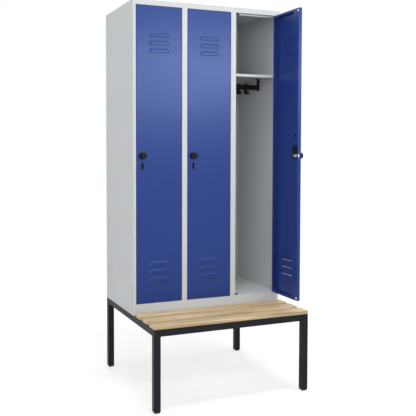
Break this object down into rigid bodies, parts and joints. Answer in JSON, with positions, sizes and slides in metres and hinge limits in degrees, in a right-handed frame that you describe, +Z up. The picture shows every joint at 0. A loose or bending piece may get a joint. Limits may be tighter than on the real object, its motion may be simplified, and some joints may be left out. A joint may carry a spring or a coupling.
{
  "type": "clothes locker with bench",
  "caption": "Steel clothes locker with blue louvred doors on a square-tube stand that carries a slatted bench in front; the right door stands open on a hat shelf and coat rail.",
  "frame": {"origin": "on the floor at the middle of the footprint", "axes": "X along the front to the right, Y from the front to the back, Z up"},
  "size_m": [0.9122, 0.815, 2.125],
  "materials": {
    "body_paint": "light grey powder coat, fine texture",
    "door_paint": "blue powder coat, satin",
    "frame_paint": "black-grey powder coat, satin",
    "beech": "clear lacquered beech",
    "zinc_steel": "zinc-plated",
    "fitting_plastic": "black moulded polyamide",
    "cap_plastic": "black moulded polyethylene",
    "buffer_rubber": "black rubber",
    "pad_nylon": "white nylon"
  },
  "bodies": {
    "locker": {"leg_front_left": "frame_paint", "leg_front_right": "frame_paint", "leg_rear_left": "frame_paint", "leg_rear_right": "frame_paint", "rail_front": "frame_paint", "rail_rear": "frame_paint", "rail_middle": "frame_paint", "rail_left": "frame_paint", "rail_right": "frame_paint", "foot_caps": "cap_plastic", "slat_front": "beech", "slat_middle": "beech", "slat_rear": "beech", "slat_screws": "zinc_steel", "side_panel_left": "body_paint", "side_panel_right": "body_paint", "partition_left": "body_paint", "partition_right": "body_paint", "back_panel": "body_paint", "roof": "body_paint", "floor_pan": "body_paint", "frame_bolts": "zinc_steel", "hat_shelf_left": "body_paint", "coat_rail_left": "fitting_plastic", "hat_shelf_middle": "body_paint", "coat_rail_middle": "fitting_plastic", "hat_shelf_right": "body_paint", "coat_rail_right": "fitting_plastic", "hinge_pins": "zinc_steel", "frame_buffers": "buffer_rubber"},
    "left_door": {"door_panel_left": "door_paint", "door_stiffener_left": "door_paint", "latch_case_left": "fitting_plastic", "slot_bush_left": "fitting_plastic", "door_pads_left": "pad_nylon"},
    "left_knob": {"knob_left": "fitting_plastic"},
    "left_latch": {"latch_bolt_left": "zinc_steel"},
    "left_hook_1": {"hook_left_1": "fitting_plastic"},
    "left_hook_2": {"hook_left_2": "fitting_plastic"},
    "left_hook_3": {"hook_left_3": "fitting_plastic"},
    "middle_door": {"door_panel_middle": "door_paint", "door_stiffener_middle": "door_paint", "latch_case_middle": "fitting_plastic", "slot_bush_middle": "fitting_plastic", "door_pads_middle": "pad_nylon"},
    "middle_knob": {"knob_middle": "fitting_plastic"},
    "middle_latch": {"latch_bolt_middle": "zinc_steel"},
    "middle_hook_1": {"hook_middle_1": "fitting_plastic"},
    "middle_hook_2": {"hook_middle_2": "fitting_plastic"},
    "middle_hook_3": {"hook_middle_3": "fitting_plastic"},
    "right_door": {"door_panel_right": "door_paint", "door_stiffener_right": "door_paint", "latch_case_right": "fitting_plastic", "slot_bush_right": "fitting_plastic", "door_pads_right": "pad_nylon"},
    "right_knob": {"knob_right": "fitting_plastic"},
    "right_latch": {"latch_bolt_right": "zinc_steel"},
    "right_hook_1": {"hook_right_1": "fitting_plastic"},
    "right_hook_2": {"hook_right_2": "fitting_plastic"},
    "right_hook_3": {"hook_right_3": "fitting_plastic"}
  },
  "joints": [
    {"name": "left_door_hinge", "type": "hinge", "parent": "locker", "child": "left_door", "pos_m": [-0.171, -0.0888, 1.291], "axis": [0, 0, 1], "range_deg": [0, 110]},
    {"name": "left_knob_turn", "type": "hinge", "parent": "left_door", "child": "left_knob", "pos_m": [-0.398, -0.0925, 1.29], "axis": [0, -1, 0], "range_deg": [0, 90]},
    {"name": "left_latch_slide", "type": "slide", "parent": "left_door", "child": "left_latch", "axis": [-1, 0, 0], "range_m": [0, 0.01]},
    {"name": "left_hook_1_slide", "type": "slide", "parent": "locker", "child": "left_hook_1", "axis": [1, 0, 0], "range_m": [-0.07, 0.016]},
    {"name": "left_hook_2_slide", "type": "slide", "parent": "locker", "child": "left_hook_2", "axis": [1, 0, 0], "range_m": [-0.018, 0.018]},
    {"name": "left_hook_3_slide", "type": "slide", "parent": "locker", "child": "left_hook_3", "axis": [1, 0, 0], "range_m": [-0.016, 0.07]},
    {"name": "middle_door_hinge", "type": "hinge", "parent": "locker", "child": "middle_door", "pos_m": [0.129, -0.0888, 1.291], "axis": [0, 0, 1], "range_deg": [0, 110]},
    {"name": "middle_knob_turn", "type": "hinge", "parent": "middle_door", "child": "middle_knob", "pos_m": [-0.098, -0.0925, 1.29], "axis": [0, -1, 0], "range_deg": [0, 90]},
    {"name": "middle_latch_slide", "type": "slide", "parent": "middle_door", "child": "middle_latch", "axis": [-1, 0, 0], "range_m": [0, 0.01]},
    {"name": "middle_hook_1_slide", "type": "slide", "parent": "locker", "child": "middle_hook_1", "axis": [1, 0, 0], "range_m": [-0.07, 0.016]},
    {"name": "middle_hook_2_slide", "type": "slide", "parent": "locker", "child": "middle_hook_2", "axis": [1, 0, 0], "range_m": [-0.018, 0.018]},
    {"name": "middle_hook_3_slide", "type": "slide", "parent": "locker", "child": "middle_hook_3", "axis": [1, 0, 0], "range_m": [-0.016, 0.07]},
    {"name": "right_door_hinge", "type": "hinge", "parent": "locker", "child": "right_door", "pos_m": [0.429, -0.0888, 1.291], "axis": [0, 0, 1], "range_deg": [-90, 20]},
    {"name": "right_knob_turn", "type": "hinge", "parent": "right_door", "child": "right_knob", "pos_m": [0.4327, -0.3158, 1.29], "axis": [1, 0, 0], "range_deg": [0, 90]},
    {"name": "right_latch_slide", "type": "slide", "parent": "right_door", "child": "right_latch", "axis": [0, -1, 0], "range_m": [0, 0.01]},
    {"name": "right_hook_1_slide", "type": "slide", "parent": "locker", "child": "right_hook_1", "axis": [1, 0, 0], "range_m": [-0.07, 0.016]},
    {"name": "right_hook_2_slide", "type": "slide", "parent": "locker", "child": "right_hook_2", "axis": [1, 0, 0], "range_m": [-0.018, 0.018]},
    {"name": "right_hook_3_slide", "type": "slide", "parent": "locker", "child": "right_hook_3", "axis": [1, 0, 0], "range_m": [-0.016, 0.07]}
  ],
  "couplings": [
    {"joint": "left_latch_slide", "follows": "left_knob_turn", "m_per_rad": 0.006366},
    {"joint": "middle_latch_slide", "follows": "middle_knob_turn", "m_per_rad": 0.006366},
    {"joint": "right_latch_slide", "follows": "right_knob_turn", "m_per_rad": 0.006366}
  ]
}
